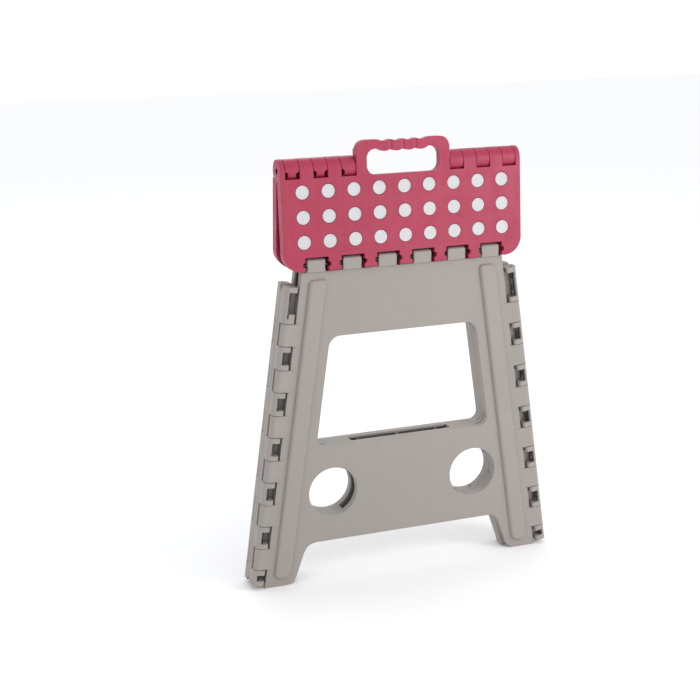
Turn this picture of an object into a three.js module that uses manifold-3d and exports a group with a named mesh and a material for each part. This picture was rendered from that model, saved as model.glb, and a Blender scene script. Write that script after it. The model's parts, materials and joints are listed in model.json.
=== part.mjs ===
// A folding step stool, standing folded on its feet.
// Two leg panels carry two side panels, each of two leaves that fold in between the legs.
// The top is two leaves that stand up over the legs as a narrow tent, and one of them has the handle.
// Millimetres, +Z up, the front looks along -Y, the origin is on the floor in the middle of the stool.
import * as THREE from "three";
import { mergeVertices } from "three/addons/utils/BufferGeometryUtils.js";
import Module from "manifold-3d";

const wasm = await Module();
wasm.setup();

// Clearances
const runningGap = 0.6;
const boreGap = 0.3;
const layerGap = 0.4;
const overrun = 2;

// Fold geometry: the same two lengths serve the top and the sides, so the loops close at every angle
const midDepth = 15.25;
const hingeDepth = 2.5;
const tentAngle = THREE.MathUtils.degToRad(4.3);

// Leg panel, seen from the front
const legHeight = 378;
const axisHalfAtFloor = 188;
const axisHalfAtTop = 134.7;
const legWeb = 3;
const legRimDepth = 8.6;
const rimWall = 2.6;
const ribWall = 1.8;
const windowTop = 298;
const windowBottom = 166.6;
const windowTopHalf = 91.7;
const windowBottomHalf = 110.3;
const windowCorner = 15;
const holeAcross = 90.2;
const holeUp = 108.9;
const holeRadius = 30;
const barBottom = 48.5;
const footInnerHalf = 141;
const footRootHalf = 124;
const footCorner = 9;
const barCorner = 12;
const legEdgeCorner = 1.5;

// Ridge pressed into the front of each leg
const ridgeTopHalf = 105;
const ridgeTop = 366;
const ridgeBottomHalf = 156;
const ridgeBottom = 9;
const ridgeWidth = 19;
const ridgeRise = 3.6;
const ridgeRound = 2.4;

// Ribs behind the leg panel
const barRibCount = 2;
const headRibCount = 2;
const ribSpanHalf = 52;
const headRibSpanHalf = 84;

// Side hinges
const sideBarrelRadius = 6;
const sidePinRadius = 2;
const notchDepth = 10.5;
const notchPitch = 53.9;
const notchLength = 28.3;
const firstNotchTop = 25.9;
const notchCount = 6;
const topNotchLength = 42.5;
const lowestKnuckle = 6;
const armReach = 7.6;
const armThickness = 6;
const pocketSkin = 4.4;
const neckLap = 5.5;

// Side leaves
const sideWeb = 2.6;
const sideRimWall = 2.4;
const sideTopDrop = 2;
const sideFootLift = 3;
const sideCorner = 7;
const foldBarrelRadius = 5.4;
const foldPinRadius = 1.8;
const foldKnuckleLap = 9;
const foldKnuckleLength = 14;
const foldGroups = [
  { place: "upper", from: 301, count: 3 },
  { place: "middle", from: 135, count: 2 },
  { place: "lower", from: 51, count: 2 },
];

// Top leaves
const topHalf = 146.5;
const topSheet = 3;
const topDepth = 12.5;
const topLowerEdge = -1.5;
const topCorner = 25;
const centreUp = 111.5;
const centreRadius = 13;
const centrePinRadius = 2;
const centreNotchFloor = 102.3;
const centreNotchWidth = 17.3;
const centreNotchPitch = 33;
const centreNotchFirst = 66.3;
const centreNotchCount = 3;
const endWall = 3;

// Hooks on the legs and the notches that take them
const hookUp = 382.5;
const hookRadius = 8;
const hookWidth = 22;
const hookPitch = 43.1;
const hookCount = 6;
const hookNotchWidth = 28;
const hookNotchUp = 14.4;
const hookPinRadius = 2.5;
const hookPinHalf = 123;
const hookRoot = 9;
const topBossRadius = 7.2;

// Handle
const handleHalf = 57;
const handleTop = 141;
const handleCorner = 11;
const handleDepth = 11;
const handleRoot = 4.5;
const slotHalf = 43;
const slotTop = 131;
const slotBottom = 102;
const slotCorner = 9;
const lobePitch = 15.2;
const lobeCount = 4;
const lobeDrop = 3.6;
const lobeDip = 2.4;
const handleNotchGap = 0.9;
const handleNotchClear = 1.6;

// Grip dots
const dotPitch = 30.5;
const dotColumns = 9;
const dotRowPitch = 27.85;
const dotTopRow = 87.5;
const dotRows = 3;
const dotRadius = 7.7;
const dotRise = 0.5;
const dotRing = 0.4;
const runnerHalf = 8.6;
const runnerThickness = 1.3;
const topRibHeight = 9;

// Facets
const smallRound = 8;
const dotFacets = 10;
const barrelFacets = 16;
const arcSteps = 3;
const holeFacets = 12;
const cornerSteps = 3;

// Sizes that follow from the ones above
const lean = Math.atan((axisHalfAtFloor - axisHalfAtTop) / legHeight);
const edgeInset = notchDepth / Math.cos(lean);
const edgeHalfAt = (z) => axisHalfAtFloor - z * Math.tan(lean) - edgeInset;
const knuckleLength = notchPitch - notchLength;
const topNotchStart = firstNotchTop + notchPitch * (notchCount - 1) + knuckleLength;
const sideTop = topNotchStart + topNotchLength;
// The centre axis and the hook axis, seen from a top leaf: depth behind its face, and height up it
const leafToCentre = new THREE.Vector2(centreRadius, centreUp);
const centreInLeg = leafToCentre.clone().rotateAround(new THREE.Vector2(), -tentAngle);
const topFaceOffset = midDepth - centreInLeg.x;
const hookFromLeaf = new THREE.Vector2(hingeDepth - topFaceOffset, hookUp - legHeight)
  .rotateAround(new THREE.Vector2(), tentAngle);
const bossSweep = Math.max(topBossRadius, hookFromLeaf.distanceTo(new THREE.Vector2(topDepth, hookFromLeaf.y)));
// A side leaf is as wide between its axes as a top leaf, so that both close the same gap
const foldAcross = centreInLeg.y + legHeight - hookUp;
const foldDeep = midDepth - hingeDepth;
const alongFold = (z) => (z + foldAcross * Math.sin(lean)) / Math.cos(lean);
const sideWebFront = legRimDepth + layerGap - hingeDepth;
const sideWebBack = sideWebFront + sideWeb;
const sideRimBack = foldDeep - layerGap;

const grey = new THREE.Color(0xb3aca6);
const pink = new THREE.Color(0xc23460);
const white = new THREE.Color(0xe9edec);
const steel = new THREE.Color(0x3a3938);
const finish = (color, roughness, metalness) =>
  new THREE.MeshStandardMaterial({ color, roughness, metalness });

// Geometry helpers

function solid(geometry) {
  const bare = geometry.index ? geometry.toNonIndexed() : geometry.clone();
  bare.deleteAttribute("normal");
  bare.deleteAttribute("uv");
  const merged = mergeVertices(bare);
  return new wasm.Manifold(new wasm.Mesh({
    numProp: 3,
    vertProperties: merged.attributes.position.array,
    triVerts: new Uint32Array(merged.index.array),
  }));
}

function join(pieces) {
  return pieces.reduce((whole, piece) => whole.add(piece));
}

function cut(body, cutters) {
  return body.subtract(join(cutters));
}

function surface(body) {
  const mesh = body.getMesh();
  const geometry = new THREE.BufferGeometry();
  geometry.setAttribute("position", new THREE.BufferAttribute(new Float32Array(mesh.vertProperties), 3));
  geometry.setIndex(new THREE.BufferAttribute(new Uint32Array(mesh.triVerts), 1));
  geometry.computeVertexNormals();
  return geometry;
}

// The same shape on the other side of the middle plane
function mirrored(geometry) {
  const turned = (geometry.index ? geometry.toNonIndexed() : geometry.clone()).scale(-1, 1, 1);
  const place = turned.attributes.position;
  for (let i = 0; i < place.count; i += 3) {
    const a = new THREE.Vector3().fromBufferAttribute(place, i + 1);
    const b = new THREE.Vector3().fromBufferAttribute(place, i + 2);
    place.setXYZ(i + 1, b.x, b.y, b.z);
    place.setXYZ(i + 2, a.x, a.y, a.z);
  }
  return turned;
}

// A closed outline through corners given as [x, z, corner size]
function outline(corners, Kind = THREE.Shape) {
  const path = new Kind();
  corners.forEach(([x, z, round], i) => {
    const corner = new THREE.Vector2(x, z);
    const before = corners[(i + corners.length - 1) % corners.length];
    const after = corners[(i + 1) % corners.length];
    const back = new THREE.Vector2(before[0], before[1]).sub(corner).setLength(round).add(corner);
    const on = new THREE.Vector2(after[0], after[1]).sub(corner).setLength(round).add(corner);
    if (i === 0) path.moveTo(back.x, back.y);
    else path.lineTo(back.x, back.y);
    if (round > 0) path.quadraticCurveTo(x, z, on.x, on.y);
  });
  path.closePath();
  return path;
}

function circle(x, z, radius, Kind = THREE.Path) {
  const path = new Kind();
  path.absarc(x, z, radius, 0, 2 * Math.PI, false);
  return path;
}

// An upright plate: the outline is seen from the front, and it reaches from depth y0 to depth y1
function plate(shape, y0, y1, steps = cornerSteps) {
  return new THREE.ExtrudeGeometry(shape, { depth: y1 - y0, bevelEnabled: false, curveSegments: steps })
    .rotateX(Math.PI / 2)
    .translate(0, y1, 0);
}

// A bar along X whose section is drawn in depth and height
function beam(section, x0, x1, steps = arcSteps) {
  const turn = new THREE.Matrix4().makeBasis(
    new THREE.Vector3(0, 1, 0), new THREE.Vector3(0, 0, 1), new THREE.Vector3(1, 0, 0),
  );
  return new THREE.ExtrudeGeometry(section, { depth: x1 - x0, bevelEnabled: false, curveSegments: steps })
    .applyMatrix4(turn)
    .translate(x0, 0, 0);
}

// A column along Z whose section is drawn across and in depth
function column(section, z0, z1, steps = arcSteps) {
  return new THREE.ExtrudeGeometry(section, { depth: z1 - z0, bevelEnabled: false, curveSegments: steps })
    .translate(0, 0, z0);
}

function block(x0, x1, y0, y1, z0, z1) {
  return new THREE.BoxGeometry(x1 - x0, y1 - y0, z1 - z0)
    .translate((x0 + x1) / 2, (y0 + y1) / 2, (z0 + z1) / 2);
}

function rodX(radius, y, z, x0, x1, facets = barrelFacets) {
  return new THREE.CylinderGeometry(radius, radius, x1 - x0, facets)
    .rotateZ(Math.PI / 2)
    .translate((x0 + x1) / 2, y, z);
}

function rodZ(radius, x, y, z0, z1, facets = barrelFacets) {
  return new THREE.CylinderGeometry(radius, radius, z1 - z0, facets)
    .rotateX(Math.PI / 2)
    .translate(x, y, (z0 + z1) / 2);
}

// A straight upright rib between two points of the panel
function rib(x0, z0, x1, z1, y0, y1) {
  const along = new THREE.Vector2(x1 - x0, z1 - z0);
  const half = new THREE.Vector2(-along.y, along.x).setLength(ribWall / 2);
  return plate(outline([
    [x0 + half.x, z0 + half.y, 0],
    [x0 - half.x, z0 - half.y, 0],
    [x1 - half.x, z1 - half.y, 0],
    [x1 + half.x, z1 + half.y, 0],
  ]), y0, y1);
}

// Side hinge frame: X runs inwards from the left axis, Y is depth, Z runs up along the axis
const sideFrame = new THREE.Matrix4()
  .makeRotationY(lean)
  .setPosition(-axisHalfAtFloor, hingeDepth, 0);
const legToSide = sideFrame.clone().invert();

// Outlines that the leg panels and the side leaves share

function windowOutline(grow, Kind) {
  return outline([
    [-windowTopHalf - grow, windowTop + grow, windowCorner],
    [-windowBottomHalf - grow, windowBottom - grow, windowCorner],
    [windowBottomHalf + grow, windowBottom - grow, windowCorner],
    [windowTopHalf + grow, windowTop + grow, windowCorner],
  ], Kind);
}

// It runs below the floor as far as a side leaf reaches down before it is cut
function archOutline(grow) {
  const floorCut = -foldAcross * Math.sin(lean) - overrun;
  return outline([
    [-footInnerHalf - grow, floorCut, 0],
    [footInnerHalf + grow, floorCut, 0],
    [footRootHalf + grow, barBottom + grow, barCorner],
    [-footRootHalf - grow, barBottom + grow, barCorner],
  ]);
}

function legOutline(inset, Kind) {
  const across = inset / Math.cos(lean);
  const topHalfWidth = edgeHalfAt(legHeight - inset) - across;
  const footOuter = edgeHalfAt(inset) - across;
  return outline([
    [-topHalfWidth, legHeight - inset, legEdgeCorner],
    [-footOuter, inset, legEdgeCorner],
    [-footInnerHalf - inset, inset, footCorner - inset],
    [-footRootHalf - inset, barBottom + inset, barCorner],
    [footRootHalf + inset, barBottom + inset, barCorner],
    [footInnerHalf + inset, inset, footCorner - inset],
    [footOuter, inset, legEdgeCorner],
    [topHalfWidth, legHeight - inset, legEdgeCorner],
  ], Kind);
}

// The knuckles of a leg panel along its side axis, from the floor up
function legKnuckles() {
  return Array.from({ length: notchCount }, (_, i) => {
    const low = firstNotchTop + i * notchPitch;
    return [low, low + knuckleLength];
  });
}

// The knuckles of a side leaf, which stand in the notches between them
function leafKnuckles() {
  const low = Array.from({ length: notchCount }, (_, i) => {
    const top = firstNotchTop + i * notchPitch - runningGap;
    const bottom = i === 0 ? lowestKnuckle : top - notchLength + 2 * runningGap;
    return [bottom, top];
  });
  return [...low, [topNotchStart + runningGap, sideTop]];
}

function legKnuckleSection() {
  const face = -hingeDepth;
  const back = legRimDepth - hingeDepth;
  const section = new THREE.Shape();
  section.moveTo(notchDepth + neckLap, face);
  section.lineTo(0, -sideBarrelRadius);
  section.absarc(0, 0, sideBarrelRadius, -Math.PI / 2, Math.PI / 2, true);
  section.lineTo(notchDepth + rimWall / 2, back);
  section.lineTo(notchDepth + rimWall / 2, face + legWeb / 2);
  section.lineTo(notchDepth + neckLap, face + legWeb / 2);
  section.closePath();
  return section;
}

function hookSection() {
  const section = new THREE.Shape();
  const root = legHeight - hookRoot;
  section.moveTo(0, root);
  section.lineTo(hingeDepth - hookRadius, legHeight - overrun);
  section.lineTo(hingeDepth - hookRadius, hookUp);
  section.absarc(hingeDepth, hookUp, hookRadius, Math.PI, 0, true);
  section.lineTo(legRimDepth, root);
  section.closePath();
  return section;
}

// Places along X of a row of copies about the middle
function spread(count, pitch) {
  return Array.from({ length: count }, (_, i) => (i - (count - 1) / 2) * pitch);
}

// A leg panel: web, rims and ribs, with its hooks and side knuckles
function legPanel() {
  const sheet = legOutline(0);
  sheet.holes.push(windowOutline(0, THREE.Path));
  const rim = legOutline(0);
  rim.holes.push(legOutline(rimWall, THREE.Path));
  const windowRim = windowOutline(rimWall);
  windowRim.holes.push(windowOutline(0, THREE.Path));
  const parts = [
    plate(sheet, 0, legWeb),
    plate(rim, 0, legRimDepth),
    plate(windowRim, 0, legRimDepth),
  ];
  for (const side of [-1, 1]) {
    parts.push(plate(circle(side * holeAcross, holeUp, holeRadius + rimWall, THREE.Shape), 0, legRimDepth, holeFacets));
  }
  const zigzag = (count, half, low, high) => {
    const step = (2 * half) / count;
    for (let i = 0; i < count; i += 1) {
      const x = i * step - half;
      parts.push(rib(x, low, x + step, high, 0, legRimDepth));
      parts.push(rib(x, high, x + step, low, 0, legRimDepth));
    }
  };
  zigzag(barRibCount, ribSpanHalf, barBottom + rimWall / 2, windowBottom - rimWall / 2);
  zigzag(headRibCount, headRibSpanHalf, windowTop + rimWall / 2, legHeight - hookRoot);
  for (const x of spread(hookCount, hookPitch)) {
    parts.push(beam(hookSection(), x - hookWidth / 2, x + hookWidth / 2));
  }
  const ridge = new THREE.ExtrudeGeometry(outline([
    [-ridgeTopHalf - ridgeWidth / 2, ridgeTop, ridgeWidth / 2],
    [-ridgeBottomHalf - ridgeWidth / 2, ridgeBottom, ridgeWidth / 2],
    [-ridgeBottomHalf + ridgeWidth / 2, ridgeBottom, ridgeWidth / 2],
    [-ridgeTopHalf + ridgeWidth / 2, ridgeTop, ridgeWidth / 2],
  ]), {
    depth: ridgeRise - ridgeRound,
    bevelThickness: ridgeRound,
    bevelSize: ridgeRound,
    bevelOffset: -ridgeRound,
    bevelSegments: 2,
    curveSegments: cornerSteps,
  }).rotateX(Math.PI / 2);
  parts.push(ridge, mirrored(ridge));
  for (const [low, high] of legKnuckles()) {
    const knuckle = column(legKnuckleSection(), low, high).applyMatrix4(sideFrame);
    parts.push(knuckle, mirrored(knuckle));
  }
  const axis = rodZ(sidePinRadius + boreGap, 0, 0, 0, sideTop, smallRound).applyMatrix4(sideFrame);
  // The top edge is lower between the hooks, clear of the bosses that turn there
  const trough = block(-topHalf, topHalf, -overrun, legRimDepth + overrun, hookUp - bossSweep - runningGap, legHeight + overrun);
  const hooks = spread(hookCount, hookPitch)
    .map((x) => solid(block(x - hookWidth / 2, x + hookWidth / 2, -topHalf, topHalf, 0, 2 * legHeight)));
  const cutters = [
    solid(axis),
    solid(mirrored(axis)),
    solid(trough).subtract(join(hooks)),
    solid(rodX(hookPinRadius + boreGap, hingeDepth, hookUp, -topHalf, topHalf, smallRound)),
  ];
  for (const side of [-1, 1]) {
    cutters.push(solid(plate(circle(side * holeAcross, holeUp, holeRadius, THREE.Shape), -overrun, legRimDepth + overrun, holeFacets)));
  }
  return cut(join(parts.map(solid)), cutters);
}

// Fold knuckles stand in three groups, above the window, above the hole and below it
function foldKnuckles() {
  const lows = foldGroups.flatMap(({ from, count }) =>
    Array.from({ length: count }, (_, i) => alongFold(from) + i * foldKnuckleLength));
  return lows.map((low, i) => ({ low, high: low + foldKnuckleLength, turn: i % 2 }));
}

// A side leaf in the side hinge frame; turn picks which of the fold knuckles it has
function sideLeaf(turn) {
  const inner = foldAcross - foldBarrelRadius - runningGap;
  const top = sideTop - sideTopDrop;
  const leafShape = (inset) => outline([
    [-sideBarrelRadius + inset, top - inset, sideCorner],
    [-sideBarrelRadius + inset, lowestKnuckle + sideFootLift + inset, legEdgeCorner],
    [inner - inset, lowestKnuckle + sideFootLift + inset, legEdgeCorner],
    [inner - inset, top - inset, legEdgeCorner],
  ]);
  const toSide = (geometry) => solid(geometry.applyMatrix4(legToSide));
  const through = [-overrun, 2 * midDepth];
  const openings = (grow) => [
    toSide(plate(windowOutline(grow), ...through)),
    toSide(plate(circle(-holeAcross, holeUp, holeRadius + grow, THREE.Shape), ...through, holeFacets)),
    toSide(plate(archOutline(grow + layerGap), ...through)),
  ];
  const sheet = cut(solid(plate(leafShape(0), sideWebFront, sideWebBack)), openings(0));
  const rimOuter = cut(solid(plate(leafShape(0), sideWebFront, sideRimBack)), openings(0));
  const rimInner = cut(
    solid(plate(leafShape(sideRimWall), sideWebBack, sideRimBack + overrun)),
    openings(sideRimWall),
  );
  const parts = [sheet, rimOuter.subtract(rimInner)];
  for (const [low, high] of leafKnuckles()) {
    const section = new THREE.Shape();
    section.moveTo(armReach, sideWebBack);
    section.lineTo(armReach, -sideBarrelRadius + legEdgeCorner);
    section.lineTo(armReach - legEdgeCorner, -sideBarrelRadius);
    section.lineTo(0, -sideBarrelRadius);
    section.absarc(0, 0, sideBarrelRadius, -Math.PI / 2, Math.PI, true);
    section.lineTo(-sideBarrelRadius, sideWebBack);
    section.closePath();
    const pocket = block(
      pocketSkin - sideBarrelRadius, notchDepth, -sideBarrelRadius - overrun, sidePinRadius + overrun,
      low + armThickness, high - armThickness,
    );
    parts.push(solid(column(section, low, high)).subtract(solid(pocket)));
  }
  const cutters = [solid(rodZ(sidePinRadius + boreGap, 0, 0, -overrun, sideTop + overrun, smallRound))];
  for (const knuckle of foldKnuckles()) {
    const low = knuckle.low + runningGap / 2;
    const high = knuckle.high - runningGap / 2;
    if (knuckle.turn === turn) {
      const section = new THREE.Shape();
      section.moveTo(foldAcross - foldKnuckleLap, sideWebFront);
      section.lineTo(foldAcross, foldDeep - foldBarrelRadius);
      section.absarc(foldAcross, foldDeep, foldBarrelRadius, -Math.PI / 2, Math.PI, false);
      section.lineTo(foldAcross - foldKnuckleLap, sideRimBack);
      section.closePath();
      parts.push(solid(column(section, low, high)));
    } else {
      cutters.push(solid(rodZ(
        foldBarrelRadius + runningGap, foldAcross, foldDeep,
        knuckle.low - runningGap / 2, knuckle.high + runningGap / 2,
      )));
    }
  }
  cutters.push(solid(rodZ(foldPinRadius + boreGap, foldAcross, foldDeep, 0, sideTop + overrun, smallRound)));
  return cut(join(parts), cutters);
}

// The places of the grip dots of one row
function dotPlaces(row, opposite) {
  const blocked = opposite && row === 0 ? handleHalf + handleNotchGap + dotRadius + overrun : 0;
  return spread(dotColumns, dotPitch).filter((x) => Math.abs(x) >= blocked);
}

const dotUp = (row) => dotTopRow - row * dotRowPitch;

// Centre notches of the front leaf; the other leaf has its notches in between
function centreNotches(opposite) {
  const half = centreNotchWidth / 2;
  const firsts = Array.from({ length: centreNotchCount }, (_, i) => centreNotchFirst + i * centreNotchPitch);
  const own = firsts.map((x) => [x - half, x + half]);
  own[0][0] = handleHalf;
  if (!opposite) return own;
  return own.map(([, high], i) => [
    high - runningGap,
    (i + 1 < own.length ? own[i + 1][0] : topHalf + overrun) + runningGap,
  ]);
}

function handleOutline() {
  const corners = [
    [-handleHalf, slotBottom - handleRoot, 0],
    [handleHalf, slotBottom - handleRoot, 0],
    [handleHalf, handleTop, handleCorner],
  ];
  const places = spread(lobeCount, lobePitch).reverse();
  for (const x of places) {
    corners.push([x + lobePitch / 2, handleTop, lobePitch / 5]);
    corners.push([x, handleTop - lobeDip, lobePitch / 5]);
  }
  corners.push([places[lobeCount - 1] - lobePitch / 2, handleTop, lobePitch / 5]);
  corners.push([-handleHalf, handleTop, handleCorner]);
  return outline(corners);
}

function slotOutline() {
  const corners = [
    [-slotHalf, slotTop, slotCorner],
    [-slotHalf, slotBottom, slotCorner],
    [slotHalf, slotBottom, slotCorner],
    [slotHalf, slotTop, slotCorner],
  ];
  for (const x of spread(lobeCount, lobePitch).reverse()) {
    corners.push([x + lobePitch / 2, slotTop, lobePitch / 5]);
    corners.push([x, slotTop - lobeDrop, lobePitch / 4]);
  }
  corners.push([-(lobeCount / 2) * lobePitch, slotTop, lobePitch / 5]);
  return outline(corners);
}

// A top leaf in its own frame: the face is at depth 0, and Z runs up the face from the leg's top line
function topLeaf(opposite) {
  const faceShape = (inset) => outline([
    [-topHalf + inset, centreUp - inset, 0],
    [-topHalf + inset, topLowerEdge + inset, topCorner],
    [topHalf - inset, topLowerEdge + inset, topCorner],
    [topHalf - inset, centreUp - inset, 0],
  ]);
  const shell = solid(plate(faceShape(0), 0, topDepth));
  const hollow = solid(plate(faceShape(endWall), topSheet, topDepth + overrun));
  const parts = [shell.subtract(hollow)];
  const ribBack = topSheet + topRibHeight;
  const between = spread(dotColumns - 1, dotPitch).filter((x) => Math.floor(Math.abs(x) / dotPitch) % 2 === 1);
  for (const x of between) {
    parts.push(solid(rib(x, topLowerEdge + ribWall, x, centreUp - ribWall, 0, ribBack)));
  }
  for (let row = 0; row < dotRows; row += 1) {
    const z = dotUp(row) - dotRowPitch / 2;
    parts.push(solid(rib(-topHalf + ribWall, z, topHalf - ribWall, z, 0, ribBack)));
  }
  parts.push(solid(rodX(centreRadius, leafToCentre.x, leafToCentre.y, -topHalf, topHalf)));
  const bossHalf = topHalf - topCorner;
  const underBoss = solid(block(
    -topHalf - overrun, topHalf + overrun, hookFromLeaf.x, 2 * topDepth, topLowerEdge - overrun, hookFromLeaf.y,
  )).subtract(solid(rodX(topBossRadius, hookFromLeaf.x, hookFromLeaf.y, -bossHalf, bossHalf)));
  parts.push(solid(rodX(topBossRadius, hookFromLeaf.x, hookFromLeaf.y, -bossHalf, bossHalf)));
  const openMiddle = handleHalf + (opposite ? handleNotchGap : 0);
  const middleFloor = opposite ? 2 * centreUp - handleTop - handleNotchClear : slotBottom - handleRoot;
  const middleCut = block(-openMiddle, openMiddle, -overrun, 2 * topDepth + overrun, middleFloor, handleTop + overrun);
  const cutters = [solid(middleCut), underBoss];
  for (const [low, high] of centreNotches(opposite)) {
    for (const side of [-1, 1]) {
      const x0 = side < 0 ? -high : low;
      const x1 = side < 0 ? -low : high;
      cutters.push(solid(rodX(centreRadius + runningGap, leafToCentre.x, leafToCentre.y, x0, x1)));
      cutters.push(solid(block(x0, x1, -overrun, leafToCentre.x, centreNotchFloor, handleTop)));
    }
  }
  for (const x of spread(hookCount, hookPitch)) {
    cutters.push(solid(block(
      x - hookNotchWidth / 2, x + hookNotchWidth / 2, -overrun, 2 * topDepth, -hookNotchUp, hookNotchUp,
    )));
  }
  cutters.push(solid(rodX(hookPinRadius + boreGap, hookFromLeaf.x, hookFromLeaf.y, -hookPinHalf - boreGap, hookPinHalf + boreGap, smallRound)));
  cutters.push(solid(rodX(centrePinRadius + boreGap, leafToCentre.x, leafToCentre.y, -topHalf - overrun, topHalf + overrun, smallRound)));
  for (let row = 0; row < dotRows; row += 1) {
    for (const x of dotPlaces(row, opposite)) {
      cutters.push(solid(dot(x, row, dotRadius + dotRing, -overrun, topSheet + overrun)));
    }
    const reach = dotPitch * (dotColumns - 1) / 2 + runnerHalf + dotRing;
    cutters.push(solid(block(
      -reach, reach, topSheet, topSheet + runnerThickness + 2 * dotRing,
      dotUp(row) - runnerHalf - dotRing, dotUp(row) + runnerHalf + dotRing,
    )));
  }
  let leaf = cut(join(parts), cutters);
  if (!opposite) {
    const handle = solid(plate(handleOutline(), 0, handleDepth)).subtract(
      solid(plate(slotOutline(), -overrun, handleDepth + overrun)),
    );
    leaf = leaf.add(handle);
  }
  return leaf;
}

function dot(x, row, radius, y0, y1) {
  return new THREE.CylinderGeometry(radius, radius, y1 - y0, dotFacets)
    .translate(x, (y0 + y1) / 2, dotUp(row));
}

// One row of grip dots, moulded in one with the runner behind the face
function gripRow(row, places) {
  const back = topSheet + dotRing + runnerThickness;
  const parts = places.map((x) => solid(dot(x, row, dotRadius, -dotRise, topSheet + 2 * dotRing)));
  parts.push(solid(block(
    places[0] - runnerHalf, places[places.length - 1] + runnerHalf, topSheet + dotRing, back,
    dotUp(row) - runnerHalf, dotUp(row) + runnerHalf,
  )));
  return join(parts);
}

// Assembly

const legGrey = finish(grey, 0.55, 0);
const topPink = finish(pink, 0.5, 0);
const gripWhite = finish(white, 0.7, 0);
const pinSteel = finish(steel, 0.35, 1);

function named(name, body, material) {
  const mesh = new THREE.Mesh(surface(body), material.clone());
  mesh.name = name;
  return mesh;
}

function sideGroup(turn, leafName, pinName) {
  const group = new THREE.Group();
  group.position.set(-axisHalfAtFloor, hingeDepth, 0);
  group.rotation.y = lean;
  group.add(named(leafName, sideLeaf(turn), legGrey));
  const pin = rodZ(sidePinRadius, 0, 0, lowestKnuckle + armThickness, sideTop - boreGap, smallRound);
  group.add(named(pinName, solid(pin), pinSteel));
  return group;
}

function foldPins(name) {
  const group = new THREE.Group();
  group.position.set(-axisHalfAtFloor, hingeDepth, 0);
  group.rotation.y = lean;
  for (const { place, from, count } of foldGroups) {
    const start = alongFold(from) + boreGap;
    const length = count * foldKnuckleLength - 2 * boreGap;
    const pin = rodZ(foldPinRadius, foldAcross, foldDeep, start, start + length, smallRound);
    group.add(named(name + "_" + place, solid(pin), pinSteel));
  }
  return group;
}

function topGroup(prefix, opposite) {
  const group = new THREE.Group();
  group.position.set(0, topFaceOffset, legHeight);
  group.rotation.x = -tentAngle;
  group.add(named(prefix + "_top_leaf", topLeaf(opposite), topPink));
  for (let row = 0; row < dotRows; row += 1) {
    const places = dotPlaces(row, opposite);
    const name = prefix + "_grip_row_" + (row + 1);
    if (places.length === dotColumns) {
      group.add(named(name, gripRow(row, places), gripWhite));
    } else {
      group.add(named(name + "_left", gripRow(row, places.filter((x) => x > 0)), gripWhite));
      group.add(named(name + "_right", gripRow(row, places.filter((x) => x < 0)), gripWhite));
    }
  }
  return group;
}

function hookPin(name) {
  return named(name, solid(rodX(hookPinRadius, hingeDepth, hookUp, -hookPinHalf, hookPinHalf, smallRound)), pinSteel);
}

// One half of the stool, as seen from its own side
function half(prefix, opposite) {
  const group = new THREE.Group();
  const right = opposite ? "left" : "right";
  const left = opposite ? "right" : "left";
  group.add(named(prefix + "_leg_panel", legPanel(), legGrey));
  group.add(hookPin(prefix + "_hook_pin"));
  group.add(sideGroup(0, left + "_" + prefix + "_side_leaf", left + "_" + prefix + "_side_pin"));
  const otherSide = new THREE.Group();
  otherSide.scale.x = -1;
  otherSide.add(sideGroup(1, right + "_" + prefix + "_side_leaf", right + "_" + prefix + "_side_pin"));
  group.add(otherSide);
  group.add(topGroup(prefix, opposite));
  return group;
}

const front = half("front", false);
front.position.y = -midDepth;
front.add(foldPins("left_fold_pin"));
const rightFold = new THREE.Group();
rightFold.scale.x = -1;
rightFold.add(foldPins("right_fold_pin"));
front.add(rightFold);
const centrePins = new THREE.Group();
centrePins.position.set(0, topFaceOffset, legHeight);
centrePins.rotation.x = -tentAngle;
for (const [name, x0, x1] of [
  ["left_centre_pin", -topHalf + boreGap, -handleHalf - boreGap],
  ["right_centre_pin", handleHalf + boreGap, topHalf - boreGap],
]) {
  centrePins.add(named(name, solid(rodX(centrePinRadius, leafToCentre.x, leafToCentre.y, x0, x1, smallRound)), pinSteel));
}
front.add(centrePins);

const rear = half("rear", true);
rear.position.y = midDepth;
rear.rotation.z = Math.PI;

const group = new THREE.Group();
group.add(front, rear);
export default group;
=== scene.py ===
# A folding step stool in grey and pink plastic, folded and standing on its feet.
import json
import math

import bmesh
import bpy
from mathutils import Matrix, Vector


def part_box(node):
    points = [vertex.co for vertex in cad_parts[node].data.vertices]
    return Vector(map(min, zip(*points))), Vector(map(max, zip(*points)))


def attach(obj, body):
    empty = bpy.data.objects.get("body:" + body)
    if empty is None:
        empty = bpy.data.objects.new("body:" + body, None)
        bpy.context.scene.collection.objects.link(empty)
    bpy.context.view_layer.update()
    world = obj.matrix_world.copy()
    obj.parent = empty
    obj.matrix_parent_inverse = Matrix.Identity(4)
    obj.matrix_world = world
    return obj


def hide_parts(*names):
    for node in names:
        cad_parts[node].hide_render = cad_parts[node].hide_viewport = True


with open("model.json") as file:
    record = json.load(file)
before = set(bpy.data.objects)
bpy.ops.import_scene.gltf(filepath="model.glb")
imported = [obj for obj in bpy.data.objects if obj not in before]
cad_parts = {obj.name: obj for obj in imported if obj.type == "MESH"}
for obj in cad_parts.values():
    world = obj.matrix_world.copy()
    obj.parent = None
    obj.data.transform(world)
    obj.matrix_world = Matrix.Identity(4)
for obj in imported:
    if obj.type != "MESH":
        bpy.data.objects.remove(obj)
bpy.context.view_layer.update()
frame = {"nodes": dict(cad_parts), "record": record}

mm = 0.001
near = 0.01 * mm  # lengths that differ by less count as the same
print("stage: frame loaded,", len(frame["nodes"]), "nodes")

bpy.context.scene.view_settings.view_transform = "Standard"

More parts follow.
